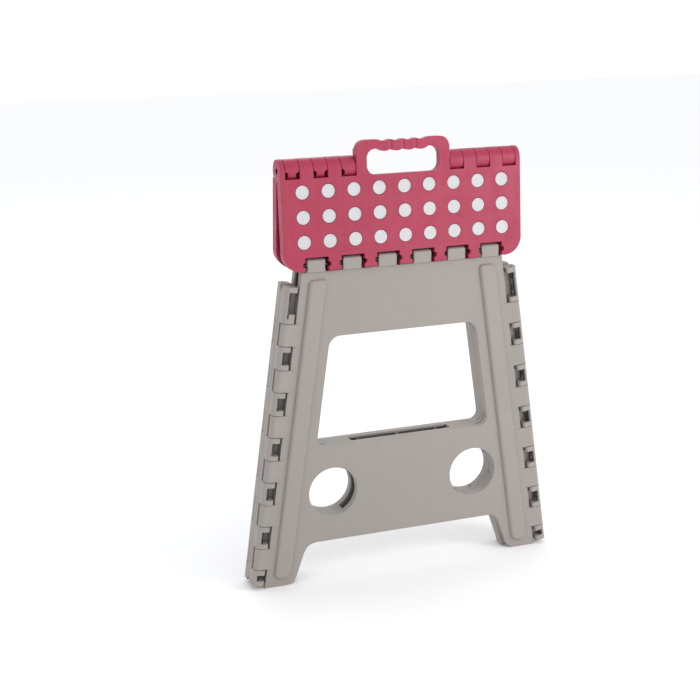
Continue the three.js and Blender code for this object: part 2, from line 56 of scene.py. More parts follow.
camera = {
    "place": (-0.61955, -1.47631, 0.71580),
    "yaw": 20.696,  # degrees to the right of +Y
    "dip": 15.603,  # degrees below level
    "roll": -0.525,
    "lens": 72.572,  # on a sensor 36 mm wide
    "sensor": 36.0,
    "reach": 50.0,
}


def makeCamera():
    data = bpy.data.cameras.new("camera")
    data.lens = camera["lens"]
    data.sensor_width = camera["sensor"]
    data.clip_end = camera["reach"]
    eye = bpy.data.objects.new("camera", data)
    turn = (
        Matrix.Rotation(-math.radians(camera["yaw"]), 4, "Z")
        @ Matrix.Rotation(math.radians(90 - camera["dip"]), 4, "X")
        @ Matrix.Rotation(math.radians(camera["roll"]), 4, "Z")
    )
    eye.matrix_world = Matrix.Translation(camera["place"]) @ turn
    bpy.context.scene.collection.objects.link(eye)
    bpy.context.scene.camera = eye


lights = {
    "world": (0.97, 0.98, 1.0),
    "worldStrength": 1.05,
    "lamps": [  # name, place, aimed at, size, watts, colour
        ("key", (0.95, -0.85, 0.75), (0.10, 0.0, 0.35), 0.5, 5.5, (1.0, 0.985, 0.965)),
        ("sheen", (1.1, -2.0, 0.25), (0.0, 0.0, 0.40), 1.0, 6.0, (0.97, 0.98, 1.0)),
        ("left", (-2.2, -1.5, 1.5), (0.0, 0.0, 0.25), 1.2, 6.0, (1.0, 1.0, 1.0)),
        ("rear", (0.4, 1.9, 1.7), (0.0, 0.0, 0.25), 1.4, 6.0, (1.0, 1.0, 1.0)),
    ],
}


def makeLights():
    world = bpy.data.worlds.new("studio")
    world.use_nodes = True
    background = world.node_tree.nodes["Background"]
    background.inputs["Color"].default_value = (*lights["world"], 1.0)
    background.inputs["Strength"].default_value = lights["worldStrength"]
    bpy.context.scene.world = world
    for name, place, target, size, watts, colour in lights["lamps"]:
        data = bpy.data.lights.new(name, "AREA")
        data.shape = "DISK"
        data.size = size
        data.energy = watts
        data.color = colour
        lamp = bpy.data.objects.new(name, data)
        aim = (Vector(target) - Vector(place)).to_track_quat("-Z", "Y")
        lamp.matrix_world = Matrix.Translation(place) @ aim.to_matrix().to_4x4()
        bpy.context.scene.collection.objects.link(lamp)


# An output of a node; sums with it become Math nodes
class Socket:
    def __init__(self, kit, output):
        self.kit = kit
        self.output = output

    def __add__(self, other):
        return self.kit.maths("ADD", self, other)

    def __radd__(self, other):
        return self.kit.maths("ADD", other, self)

    def __sub__(self, other):
        return self.kit.maths("SUBTRACT", self, other)

    def __rsub__(self, other):
        return self.kit.maths("SUBTRACT", other, self)

    def __mul__(self, other):
        return self.kit.maths("MULTIPLY", self, other)

    def __rmul__(self, other):
        return self.kit.maths("MULTIPLY", other, self)


class Finish:
    def __init__(self, name):
        self.material = bpy.data.materials.new(name)
        self.material.use_nodes = True
        self.tree = self.material.node_tree
        self.tree.nodes.clear()
        self.shader = self.tree.nodes.new("ShaderNodeBsdfPrincipled")
        output = self.tree.nodes.new("ShaderNodeOutputMaterial")
        self.tree.links.new(self.shader.outputs["BSDF"], output.inputs["Surface"])

    # Inputs go by name, or by number as i0, i1 and so on where a node's names repeat
    def node(self, kind, out=0, settings=None, **sockets):
        made = self.tree.nodes.new(kind)
        for key, value in (settings or {}).items():
            if key == "stops":
                for stop, (place, shade) in zip(made.color_ramp.elements, value):
                    stop.position = place
                    stop.color = (shade, shade, shade, 1.0)
            else:
                setattr(made, key, value)
        for key, value in sockets.items():
            numbered = key[0] == "i" and key[1:].isdigit()
            self.feed(made.inputs[int(key[1:]) if numbered else key.replace("_", " ")], value)
        return Socket(self, made.outputs[out])

    def feed(self, socket, value):
        if isinstance(value, Socket):
            self.tree.links.new(value.output, socket)
        else:
            socket.default_value = value

    def maths(self, operation, a, b=0.0):
        return self.node("ShaderNodeMath", settings={"operation": operation}, i0=a, i1=b)

    def place(self, scale=(1, 1, 1), turn=(0, 0, 0)):
        coords = self.node("ShaderNodeTexCoord", out="Object")
        return self.node("ShaderNodeMapping", Vector=coords, Scale=scale, Rotation=turn)

    def axis(self, letter):
        coords = self.node("ShaderNodeTexCoord", out="Object")
        return self.node("ShaderNodeSeparateXYZ", out=letter, Vector=coords)

    def noise(self, vector, scale, detail, rough):
        return self.node(
            "ShaderNodeTexNoise", out="Fac", Vector=vector, Scale=scale, Detail=detail, Roughness=rough)

    def ramp(self, factor, *stops):
        return self.node("ShaderNodeValToRGB", settings={"stops": stops}, Fac=factor)

    # Patches of noise; a pattern is the noise's detail and roughness, and where its ramp begins and ends
    def patches(self, vector, scale, pattern):
        detail, rough, begins, ends = pattern
        return self.ramp(self.noise(vector, scale, detail, rough), (begins, 0.0), (ends, 1.0))

    # Inputs 6 and 7 and output 2 are the colours of a Mix node
    def blendColour(self, factor, a, b):
        return self.node("ShaderNodeMix", out=2, settings={"data_type": "RGBA"}, i0=factor, i6=a, i7=b)

    # Rounds the edges in the shading and lays the height over that
    def bumps(self, height, depth, strength, radius, samples):
        rounded = self.node("ShaderNodeBevel", settings={"samples": samples}, Radius=radius)
        return self.node("ShaderNodeBump", Height=height, Distance=depth, Strength=strength, Normal=rounded)

    def set(self, **values):
        for key, value in values.items():
            self.feed(self.shader.inputs[key.replace("_", " ")], value)


plastics = {
    "legGrey": {
        "colour": (0.292, 0.257, 0.238, 1.0), "shade": (0.272, 0.249, 0.226, 1.0),
        "dust": (0.45, 0.42, 0.40, 1.0), "rough": 0.48, "roughSpan": 0.10,
        "grain": 1500.0, "grainDepth": 0.00005, "flow": 9.0, "round": 0.0009, "speck": 0.10,
    },
    "topPink": {
        "colour": (0.345, 0.016, 0.058, 1.0), "shade": (0.300, 0.011, 0.046, 1.0),
        "dust": (0.50, 0.12, 0.19, 1.0), "rough": 0.42, "roughSpan": 0.12,
        "grain": 1500.0, "grainDepth": 0.00004, "flow": 16.0, "round": 0.0008, "speck": 0.06,
    },
    "gripWhite": {
        "colour": (0.545, 0.535, 0.545, 1.0), "shade": (0.505, 0.505, 0.51, 1.0),
        "dust": (0.52, 0.53, 0.52, 1.0), "rough": 0.62, "roughSpan": 0.10,
        "grain": 1600.0, "grainDepth": 0.00012, "flow": 40.0, "round": 0.0004, "speck": 0.10,
    },
}

moulded = {  # what the three plastics share; a scale that ends in Times multiplies the scale of the flow
    "flowStretch": (1.0, 1.0, 0.35), "flowPattern": (4.0, 0.55, 0.32, 0.70),
    "speckTimes": 22, "speckPattern": (2.0, 0.7, 0.60, 0.72),
    "rubTimes": 3.1, "rubPattern": (5.0, 0.6, 0.45, 0.62),
    "scratchStretch": (1.0, 1.0, 0.04), "scratchTurn": (0.2, 0.6, 0.3), "scratchScale": 900.0,
    "scratchPattern": (2.0, 0.5, 0.66, 0.72), "scratchHeight": -0.5, "scratchRough": -0.06,
    "grainNoise": (2.0, 0.6), "waves": 38.0, "waveNoise": (2.0, 0.5), "waveHeight": 1.6,
    "strength": 0.7, "samples": 6,
}

sinkMarks = {
    "pitchX": 30.5 * mm, "pitchZ": 27.77 * mm, "firstZ": 451.2 * mm, "width": 0.14,
    "shade": 0.16, "depth": 3.0, "rough": 0.05,
}


# Faint bands where the ribs behind the face have drawn it in as it cooled
def sinkBands(kit):
    def band(place, pitch):
        share = kit.maths("FRACT", place * (1 / pitch))
        return kit.ramp(kit.maths("ABSOLUTE", share - 0.5), (0.0, 1.0), (sinkMarks["width"], 0.0))
    across = band(kit.axis("X"), sinkMarks["pitchX"])
    up = band(kit.axis("Z") - (sinkMarks["firstZ"] - sinkMarks["pitchZ"] / 2), sinkMarks["pitchZ"])
    return kit.maths("MAXIMUM", across, up)


def makePlastic(name, values, marked=False):
    kit = Finish(name)
    here = kit.place()
    flow = kit.patches(kit.place(scale=moulded["flowStretch"]), values["flow"], moulded["flowPattern"])
    body = kit.blendColour(flow, values["shade"], values["colour"])
    specks = kit.patches(here, values["flow"] * moulded["speckTimes"], moulded["speckPattern"])
    body = kit.blendColour(specks * values["speck"], body, values["dust"])
    rubbed = kit.patches(here, values["flow"] * moulded["rubTimes"], moulded["rubPattern"])
    streaked = kit.place(scale=moulded["scratchStretch"], turn=moulded["scratchTurn"])
    scratches = kit.patches(streaked, moulded["scratchScale"], moulded["scratchPattern"])
    grain = kit.noise(here, values["grain"], *moulded["grainNoise"])
    waves = kit.noise(here, moulded["waves"], *moulded["waveNoise"])
    height = grain + scratches * moulded["scratchHeight"] + waves * moulded["waveHeight"]
    rough = rubbed * values["roughSpan"] + scratches * moulded["scratchRough"] + values["rough"]
    if marked:
        bands = sinkBands(kit)
        body = kit.blendColour(bands * sinkMarks["shade"], body, values["shade"])
        height = height - bands * sinkMarks["depth"]
        rough = rough - bands * sinkMarks["rough"]
    kit.set(
        Base_Color=body,
        Roughness=rough,
        Normal=kit.bumps(
            height, values["grainDepth"], moulded["strength"], values["round"], moulded["samples"]),
    )
    return kit.material


wire = {
    "colour": (0.050, 0.048, 0.046, 1.0), "worn": (0.16, 0.155, 0.15, 1.0), "rough": 0.34, "roughSpan": 0.2,
    "stretch": (1.0, 1.0, 0.03), "streaks": 1400.0, "streakNoise": (3.0, 0.6), "streakDepth": 0.00002,
    "wear": 120.0, "wearPattern": (4.0, 0.6, 0.48, 0.66), "strength": 0.6, "round": 0.0004, "samples": 4,
}


def makeSteel(name):
    kit = Finish(name)
    streaks = kit.noise(kit.place(scale=wire["stretch"]), wire["streaks"], *wire["streakNoise"])
    worn = kit.patches(kit.place(), wire["wear"], wire["wearPattern"])
    kit.set(
        Base_Color=kit.blendColour(worn, wire["colour"], wire["worn"]),
        Roughness=streaks * wire["roughSpan"] + wire["rough"],
        Metallic=1.0,
        Normal=kit.bumps(streaks, wire["streakDepth"], wire["strength"], wire["round"], wire["samples"]),
    )
    return kit.material


floor = {
    "half": 6.0, "dark": (0.93, 0.93, 0.93, 1.0), "bright": (0.95, 0.95, 0.95, 1.0),
    "mottle": 6.0, "mottleNoise": (3.0, 0.5), "rough": 0.9, "specular": 0.2,
}


def makeFloorFinish():
    kit = Finish("floorPaper")
    mottle = kit.noise(kit.place(), floor["mottle"], *floor["mottleNoise"])
    kit.set(
        Base_Color=kit.blendColour(mottle, floor["dark"], floor["bright"]),
        Roughness=floor["rough"],
        Specular_IOR_Level=floor["specular"],
    )
    return kit.material


stool = {  # lengths that the new shapes share with the solids
    "midDepth": 15.25 * mm,  # from the middle of the stool to the face of a leg
    "legTop": 378 * mm,
    "faceOut": -21.323 * mm,  # how far in front of the middle the foot of a top leaf's face stands
    "tent": math.radians(4.3),
    "axisAtFloor": 188 * mm,
    "axisAtTop": 134.7 * mm,
    "wireDepth": 12.75 * mm,  # from the middle of the stool to the wires of the hooks and the sides
    "wireUp": 382.5 * mm,
    "overrun": 3 * mm,  # how far a cut goes past what it cuts
}
lean = math.atan((stool["axisAtFloor"] - stool["axisAtTop"]) / stool["legTop"])
aboutFace = Matrix.Rotation(math.pi, 4, "Z")
intoDepth = Matrix.Rotation(math.pi / 2, 4, "X")
alongWidth = Matrix.Rotation(math.pi / 2, 4, "Y")


# Along a row about the middle
def evenly(count, pitch):
    return [(i - (count - 1) / 2) * pitch for i in range(count)]


# X across the leg, Y into it from its face, Z up
def legFrame(rear):
    place = Matrix.Translation((0, -stool["midDepth"], 0))
    return aboutFace @ place if rear else place


# X along the leaf, Y into it from its face, Z up the face
def leafFrame(rear):
    place = Matrix.Translation((0, stool["faceOut"], stool["legTop"]))
    place = place @ Matrix.Rotation(-stool["tent"], 4, "X")
    return aboutFace @ place if rear else place


# X inwards from the side axis, Y into the stool, Z up along the axis
def sideFrame(rear, mirrored):
    place = Matrix.Translation((-stool["axisAtFloor"], -stool["wireDepth"], 0))
    place = place @ Matrix.Rotation(lean, 4, "Y")
    if mirrored:
        place = Matrix.Scale(-1, 4, (1, 0, 0)) @ place
    return aboutFace @ place if rear else place


slots = {s["node"]: s["material_slot"] for s in frame["record"]["subparts"]}


def bodyOf(node):
    return next(b for b, nodes in frame["record"]["behaviour"]["bodies"].items() if node in nodes)


dressing = {
    "merge": 0.00001,
    "flat": math.radians(0.6),  # neighbouring faces within this angle become one
    "smooth": math.radians(38.0),  # an edge below this angle is drawn soft
    "bevelSteps": 3,
}


def copyOf(node):
    shape = bmesh.new()
    shape.from_mesh(frame["nodes"][node].data)
    bmesh.ops.remove_doubles(shape, verts=shape.verts, dist=dressing["merge"])
    return shape


def scrapObject(name, shape):
    mesh = bpy.data.meshes.new(name)
    shape.to_mesh(mesh)
    shape.free()
    made = bpy.data.objects.new(name, mesh)
    bpy.context.scene.collection.objects.link(made)
    return made


# Cuts one shape from another, or joins it on, and gives back the result
def carve(shape, tool, how="DIFFERENCE"):
    body = scrapObject("body", shape)
    blade = scrapObject("blade", tool)
    change = body.modifiers.new("carve", "BOOLEAN")
    change.operation = how
    change.solver = "EXACT"
    change.object = blade
    worked = body.evaluated_get(bpy.context.evaluated_depsgraph_get())
    result = bmesh.new()
    result.from_mesh(worked.to_mesh())
    worked.to_mesh_clear()
    for scrap in (body, blade):
        mesh = scrap.data
        bpy.data.objects.remove(scrap)
        bpy.data.meshes.remove(mesh)
    return result


# A round rod about the Z axis of its place
def addRod(shape, place, radius, length, sides):
    bmesh.ops.create_cone(
        shape, cap_ends=True, segments=sides, radius1=radius, radius2=radius, depth=length, matrix=place)


def addBox(shape, low, high, place):
    middle = Matrix.Translation([(a + b) / 2 for a, b in zip(low, high)])
    size = Matrix.Diagonal((*[b - a for a, b in zip(low, high)], 1))
    bmesh.ops.create_cube(shape, size=1.0, matrix=place @ middle @ size)


def boxTool(low, high, place):
    shape = bmesh.new()
    addBox(shape, low, high, place)
    return shape


# An upright plate from corners given as (x, z, corner size), between two depths
def plate(corners, y0, y1, steps, place=Matrix.Identity(4)):
    shape = bmesh.new()
    points = [shape.verts.new((x, y0, z)) for x, z, _ in corners]
    shape.faces.new(points)
    groups = {}
    for point, (_, _, size) in zip(points, corners):
        groups.setdefault(size, []).append(point)
    for size, group in groups.items():
        if size > 0:
            bmesh.ops.bevel(
                shape, geom=group, offset=size, offset_type="OFFSET", segments=steps, profile=0.5,
                affect="VERTICES", clamp_overlap=False, material=-1)
    grown = bmesh.ops.extrude_face_region(shape, geom=shape.faces[:])["geom"]
    far = [v for v in grown if isinstance(v, bmesh.types.BMVert)]
    bmesh.ops.translate(shape, verts=far, vec=(0, y1 - y0, 0))
    bmesh.ops.recalc_face_normals(shape, faces=shape.faces)
    bmesh.ops.transform(shape, matrix=place, verts=shape.verts)
    return shape


def roundEdges(shape, picked, size, steps=dressing["bevelSteps"]):
    bmesh.ops.bevel(
        shape, geom=picked, offset=size, offset_type="OFFSET", segments=steps, profile=0.5,
        affect="EDGES", clamp_overlap=True, material=-1)


def joinFlats(shape):
    bmesh.ops.dissolve_limit(shape, angle_limit=dressing["flat"], verts=shape.verts, edges=shape.edges)


def isCrease(edge, angle):
    return len(edge.link_faces) == 2 and edge.calc_face_angle(0.0) > angle


# Turns a shape into the piece that takes the place of a CAD node
def finishPiece(shape, node, flatten=True):
    bmesh.ops.remove_doubles(shape, verts=shape.verts, dist=dressing["merge"])
    if flatten:
        joinFlats(shape)
    for face in shape.faces:
        face.smooth = True
    for edge in shape.edges:
        edge.smooth = len(edge.link_faces) == 2 and edge.calc_face_angle(0.0) < dressing["smooth"]
    name = node + "_dressed"
    mesh = bpy.data.meshes.new(name)
    shape.to_mesh(mesh)
    shape.free()
    mesh.materials.append(finishes[slots[node]])
    piece = bpy.data.objects.new(name, mesh)
    bpy.context.scene.collection.objects.link(piece)
    flats = piece.modifiers.new("flats", "WEIGHTED_NORMAL")
    flats.keep_sharp = True
    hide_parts(node)
    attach(piece, bodyOf(node))


panel = {
    "windowTop": 298 * mm, "windowBottom": 166.6 * mm, "windowHighHalf": 91.72 * mm,
    "windowLowHalf": 110.32 * mm, "windowRound": 12.3 * mm, "cornerSteps": 12,
    "holeAcross": 90.2 * mm, "holeUp": 108.9 * mm, "holeRadius": 30.06 * mm, "holeSides": 96,
}


def windowTool(y0, y1):
    corners = [
        (-panel["windowHighHalf"], panel["windowTop"]), (-panel["windowLowHalf"], panel["windowBottom"]),
        (panel["windowLowHalf"], panel["windowBottom"]), (panel["windowHighHalf"], panel["windowTop"]),
    ]
    return plate([(x, z, panel["windowRound"]) for x, z in corners], y0, y1, panel["cornerSteps"])


def holeTool(y0, y1):
    shape = bmesh.new()
    for side in (-1, 1):
        place = Matrix.Translation((side * panel["holeAcross"], (y0 + y1) / 2, panel["holeUp"])) @ intoDepth
        addRod(shape, place, panel["holeRadius"], y1 - y0, panel["holeSides"])
    return shape


ridge = {
    "topHalf": 105 * mm, "top": 366 * mm, "lowHalf": 156 * mm, "low": 9 * mm, "half": 10.6 * mm,
    "rise": 4.0 * mm, "edge": 7.5 * mm, "edgeSteps": 8, "topCorner": 5 * mm, "lowCorner": 9 * mm,
    "cornerSteps": 8, "margin": 1.2 * mm, "lap": 1 * mm,
    "step": 0.02 * mm,  # how far a cut stays in front of the face
}


def ridgeCorners(side, grow=0.0, square=False):
    half = ridge["half"] + grow
    top, low = ridge["top"] + grow, ridge["low"] - grow
    topSize, lowSize = (0, 0) if square else (ridge["topCorner"], ridge["lowCorner"])
    corners = [
        (-ridge["topHalf"] - half, top, topSize), (-ridge["lowHalf"] - half, low, lowSize),
        (-ridge["lowHalf"] + half, low, lowSize), (-ridge["topHalf"] + half, top, topSize),
    ]
    return corners if side < 0 else [(-x, z, size) for x, z, size in reversed(corners)]


# The ridge swells out of the face instead of standing on it
def swellRidges(shape, place):
    for side in (-1, 1):
        around = ridgeCorners(side, ridge["margin"], True)
        blade = plate(around, -2 * ridge["rise"], -ridge["step"], ridge["cornerSteps"], place)
        shape = carve(shape, blade)
        swell = plate(ridgeCorners(side), -ridge["rise"], ridge["lap"], ridge["cornerSteps"])
        rim = [e for e in swell.edges if all(abs(v.co.y + ridge["rise"]) < near for v in e.verts)]
        roundEdges(swell, rim, ridge["edge"], ridge["edgeSteps"])
        bmesh.ops.transform(swell, matrix=place, verts=swell.verts)
        shape = carve(shape, swell, "UNION")
    return shape


hooks = {  # crease is in radians; sideways is the X that a side's normal has at least
    "count": 6, "pitch": 43.1 * mm, "half": 11 * mm, "proud": 2.8 * mm, "foot": 375.2 * mm,
    "low": 367 * mm, "high": 392 * mm, "out": 8 * mm, "side": 1 * mm,
    "round": 1.3 * mm, "start": 0.4 * mm, "bore": 5 * mm, "crease": 1.0, "sideways": 0.5,
}


# The fronts of the hooks lie close to the face and end at the top line of the panel
def slimHooks(shape, place):
    half = hooks["half"] + hooks["side"]
    for x in evenly(hooks["count"], hooks["pitch"]):
        low = (x - half, -hooks["out"], hooks["low"])
        shape = carve(shape, boxTool(low, (x + half, -hooks["proud"], hooks["high"]), place))
        shape = carve(shape, boxTool(low, (x + half, -ridge["step"], hooks["foot"]), place))
    return shape


# The long outer edges of the hooks are soft to the touch, those of their bores aren't
def roundHooks(shape):
    joinFlats(shape)
    sides = [x + s * hooks["half"] for x in evenly(hooks["count"], hooks["pitch"]) for s in (-1, 1)]
    picked = []
    for edge in shape.edges:
        ends = [v.co for v in edge.verts]
        if min(p.z for p in ends) < stool["legTop"] + hooks["start"] or not isCrease(edge, hooks["crease"]):
            continue
        onSide = any(all(abs(p.x - x) < near for p in ends) for x in sides)
        outside = sum(abs(f.normal.x) < hooks["sideways"] for f in edge.link_faces) == 1
        fromWire = math.hypot(abs(ends[0].y) - stool["wireDepth"], ends[0].z - stool["wireUp"])
        if onSide and outside and fromWire > hooks["bore"]:
            picked.append(edge)
    roundEdges(shape, picked, hooks["round"])


def dressLeg(node, rear):
    high = stool["midDepth"] + stool["overrun"]
    shape = carve(copyOf(node), windowTool(-high, high))
    shape = carve(shape, holeTool(-high, high))
    shape = swellRidges(shape, legFrame(rear))
    shape = slimHooks(shape, legFrame(rear))
    roundHooks(shape)
    finishPiece(shape, node)


arms = {  # the open C-shaped knuckles of the side leaves
    "reach": 7.6 * mm, "round": 2.6 * mm, "roundSteps": 4, "thick": 6 * mm,
    "first": 25.9 * mm, "pitch": 53.9 * mm, "notch": 28.3 * mm, "count": 6, "gap": 0.6 * mm,
    "lowest": 6 * mm, "topLow": 321.6 * mm, "topHigh": 363.5 * mm,
    "shortest": 0.5 * mm, "near": 0.05 * mm,
}


def armKnuckles():
    spans = []
    for i in range(arms["count"]):
        top = arms["first"] + i * arms["pitch"] - arms["gap"]
        low = arms["lowest"] if i == 0 else top - arms["notch"] + 2 * arms["gap"]
        spans.append((low, top))
    return spans + [(arms["topLow"], arms["topHigh"])]


pockets = {
    "low": -1.7 * mm, "high": 14 * mm, "front": -8 * mm, "back": 8.0 * mm, "inset": 6.2 * mm,
    "topArm": 11 * mm, "armLow": 0.0, "armHigh": 7.6 * mm, "armFront": -6 * mm, "armBack": 6.8 * mm,
    "chamfer": 1.5 * mm,
}


# The pockets reach back almost through the web, and the arm below the topmost one is thicker
def deepenPockets(shape, place):
    for low, high in armKnuckles():
        box = boxTool((pockets["low"], pockets["front"], low + pockets["inset"]),
                      (pockets["high"], pockets["back"], high - pockets["inset"]), place)
        shape = carve(shape, box)
    low = armKnuckles()[-1][0]
    block = boxTool((pockets["armLow"], pockets["armFront"], low + arms["thick"] / 2),
                    (pockets["armHigh"], pockets["armBack"], low + pockets["topArm"]), place)
    local = place.inverted()
    outermost = Vector((pockets["armHigh"], pockets["armFront"], 0))
    corner = [e for e in block.edges if all((local @ v.co - outermost).xy.length < near for v in e.verts)]
    roundEdges(block, corner, pockets["chamfer"])
    return carve(shape, block, "UNION")


# The end of each arm is round where it meets the top of its knuckle
def roundArms(shape, place):
    joinFlats(shape)
    local = place.inverted()
    heights = [high - arms["thick"] for _, high in armKnuckles()]
    picked = []
    for edge in shape.edges:
        ends = [local @ v.co for v in edge.verts]
        if abs(ends[1].y - ends[0].y) < arms["shortest"] or len(edge.link_faces) != 2:
            continue
        atTip = all(abs(p.x - arms["reach"]) < arms["near"] for p in ends)
        if atTip and any(all(abs(p.z - z) < arms["near"] for p in ends) for z in heights):
            picked.append(edge)
    if picked:
        roundEdges(shape, picked, arms["round"], arms["roundSteps"])


def dressSideLeaf(node, rear, mirrored):
    high = stool["midDepth"] + stool["overrun"]
    place = sideFrame(rear, mirrored)
    shape = deepenPockets(carve(copyOf(node), holeTool(-high, high)), place)
    roundArms(shape, place)
    finishPiece(shape, node)


grips = {
    "columns": 9, "pitch": 30.5 * mm, "rowPitch": 27.85 * mm, "topRow": 87.5 * mm,
    "radius": 7.7 * mm, "holeRadius": 8.13 * mm, "sides": 48, "rise": 0.5 * mm, "sheet": 3 * mm,
    "lap": 0.7 * mm, "edge": 0.35 * mm, "rim": 1.0 * mm, "slope": 0.25 * mm, "sunk": 0.22 * mm,
    "runnerFront": 3.4 * mm, "runnerBack": 4.7 * mm, "runnerHalf": 8.6 * mm,
    "holeDepth": 5 * mm,
    "clear": 67.6 * mm,  # the divided row has no dots nearer to the middle, where the handle is
}


# The dots of a row, as places along the leaf
def gripPlaces(node):
    places = evenly(grips["columns"], grips["pitch"])
    if node.endswith("_left"):
        return [x for x in places if x > grips["clear"]]
    if node.endswith("_right"):
        return [x for x in places if x < -grips["clear"]]
    return places


def gripUp(node):
    row = int(node.split("_row_")[1][0]) - 1
    return grips["topRow"] - row * grips["rowPitch"]


# A raised disc with a soft edge and a rim round a slightly sunk middle
def addGrip(shape, x, z, place):
    before = set(shape.verts)
    back = grips["sheet"] + grips["lap"]

    def added():
        return [v for v in shape.verts if v not in before]

    def fronts():
        return [f for f in {f for v in added() for f in v.link_faces}
                if all(abs(v.co.y + grips["rise"]) < near for v in f.verts)]

    middle = Matrix.Translation((x, (back - grips["rise"]) / 2, z))
    addRod(shape, middle @ intoDepth, grips["radius"], back + grips["rise"], grips["sides"])
    roundEdges(shape, fronts()[0].edges[:], grips["edge"])
    front = fronts()
    bmesh.ops.inset_region(shape, faces=front, thickness=grips["rim"], depth=0.0)
    bmesh.ops.inset_region(shape, faces=front, thickness=grips["slope"], depth=-grips["sunk"])
    bmesh.ops.transform(shape, matrix=place, verts=added())


# The dots of a row in one piece with the runner behind the face
def dressGripRow(node, rear):
    shape = bmesh.new()
    place = leafFrame(rear)
    z, places, half = gripUp(node), gripPlaces(node), grips["runnerHalf"]
    for x in places:
        addGrip(shape, x, z, place)
    addBox(shape, (places[0] - half, grips["runnerFront"], z - half),
           (places[-1] + half, grips["runnerBack"], z + half), place)
    finishPiece(shape, node)


handle = {  # crease is in radians
    "half": 56.6 * mm, "top": 141 * mm, "foot": 96.4 * mm, "shoulder": 101.9 * mm, "flange": 59 * mm,
    "cut": 97.45 * mm, "cutHalf": 56.61 * mm, "cutDepth": 30 * mm,
    "depth": 9 * mm, "corner": 11 * mm, "cornerSteps": 8, "riser": 0.5 * mm,
    "edge": 1.3 * mm, "edgeSteps": 4, "crease": 1.2, "margin": 0.1 * mm, "start": 0.4 * mm,
    "slotHalf": 44.4 * mm, "slotTop": 130.6 * mm, "slotBottom": 102 * mm, "slotCorner": 10 * mm,
    "lobes": 4, "lobePitch": 15.2 * mm,
    "grooveRadius": 5 * mm, "grooveDeep": 0.55 * mm, "grooveSides": 48,
}
outerWave = {"dip": 3.3 * mm, "cusp": 0.0, "dipRound": 4.6 * mm, "crestRound": 2.6 * mm}
innerWave = {"dip": 4.6 * mm, "cusp": 1.0 * mm, "dipRound": 5.6 * mm, "crestRound": 1.6 * mm}


# The lobes between the fingers, from right to left; all crests but the outermost drop by the cusp
def waveCorners(top, wave):
    step = handle["lobePitch"] / 2
    places = evenly(handle["lobes"], handle["lobePitch"])
    corners = []
    for x in reversed(places):
        drop = 0 if x == places[-1] else wave["cusp"]
        corners.append((x + step, top - drop, wave["crestRound"]))
        corners.append((x, top - wave["dip"], wave["dipRound"]))
    return corners + [(places[0] - step, top, wave["crestRound"])]


def handleShape(place):
    half, foot, shoulder, flange = (handle[k] for k in ("half", "foot", "shoulder", "flange"))
    rightSide = [
        (flange, foot, 0), (flange, shoulder, 0), (half, shoulder, 0),
        (half, shoulder + handle["riser"], 0), (half, handle["top"], handle["corner"]),
    ]
    leftSide = [(-x, z, size) for x, z, size in rightSide]
    outer = leftSide[:1] + rightSide + waveCorners(handle["top"], outerWave) + leftSide[:0:-1]
    inner = [(x * handle["slotHalf"], handle[k], handle["slotCorner"]) for x, k in (
        (-1, "slotTop"), (-1, "slotBottom"), (1, "slotBottom"), (1, "slotTop"))]
    inner += waveCorners(handle["slotTop"], innerWave)
    shape = carve(
        plate(outer, 0, handle["depth"], handle["cornerSteps"]),
        plate(inner, -stool["overrun"], handle["depth"] + stool["overrun"], handle["cornerSteps"]))
    # Shallow grooves between the fingers, down the front of the bar
    grooves = bmesh.new()
    tall = handle["top"] - handle["slotTop"]
    y = handle["grooveDeep"] - handle["grooveRadius"]
    for x in evenly(handle["lobes"] - 1, handle["lobePitch"]):
        middle = Matrix.Translation((x, y, handle["top"] - tall / 2))
        addRod(grooves, middle, handle["grooveRadius"], 2 * tall, handle["grooveSides"])
    shape = carve(shape, grooves)
    joinFlats(shape)
    margin = handle["margin"]
    picked = []
    for edge in shape.edges:
        ends = [v.co for v in edge.verts]
        level = abs(ends[0].y - ends[1].y) < near
        above = all(p.z > shoulder + handle["start"] for p in ends)
        inSlot = all(
            abs(p.x) < handle["slotHalf"] + margin
            and handle["slotBottom"] - margin < p.z < handle["slotTop"] + margin for p in ends)
        if level and (above or inSlot) and isCrease(edge, handle["crease"]):
            picked.append(edge)
    roundEdges(shape, picked, handle["edge"], handle["edgeSteps"])
    bmesh.ops.transform(shape, matrix=place, verts=shape.verts)
    return shape


shoulders = {  # the round openings in the knuckles of the centre hinge on the rear leaf
    "radius": 4.34 * mm, "depth": 11.5 * mm, "sides": 28, "front": -15 * mm, "centreUp": 111.5 * mm,
    "floor": 102.3 * mm, "lift": 4.3 * mm, "centreDepth": 13 * mm,
    "low": 57.65 * mm, "high": 74.95 * mm, "notches": 3, "notchPitch": 33 * mm,
}


def shoulderTool():
    shape = bmesh.new()
    tent = stool["tent"]
    place = (
        leafFrame(True)
        @ Matrix.Translation((0, shoulders["centreDepth"], shoulders["centreUp"]))
        @ Matrix.Rotation(tent, 4, "X") @ aboutFace @ Matrix.Rotation(-tent, 4, "X")
    )
    y = shoulders["front"] + shoulders["depth"] / 2
    z = shoulders["floor"] + shoulders["lift"] - shoulders["centreUp"]
    for i in range(shoulders["notches"]):
        low, high = (shoulders[k] + i * shoulders["notchPitch"] for k in ("low", "high"))
        for x in (low, high) if i > 0 else (high,):
            middle = Matrix.Translation((-x, y, z))
            addRod(shape, place @ middle @ intoDepth, shoulders["radius"], shoulders["depth"],
                   shoulders["sides"])
    return shape


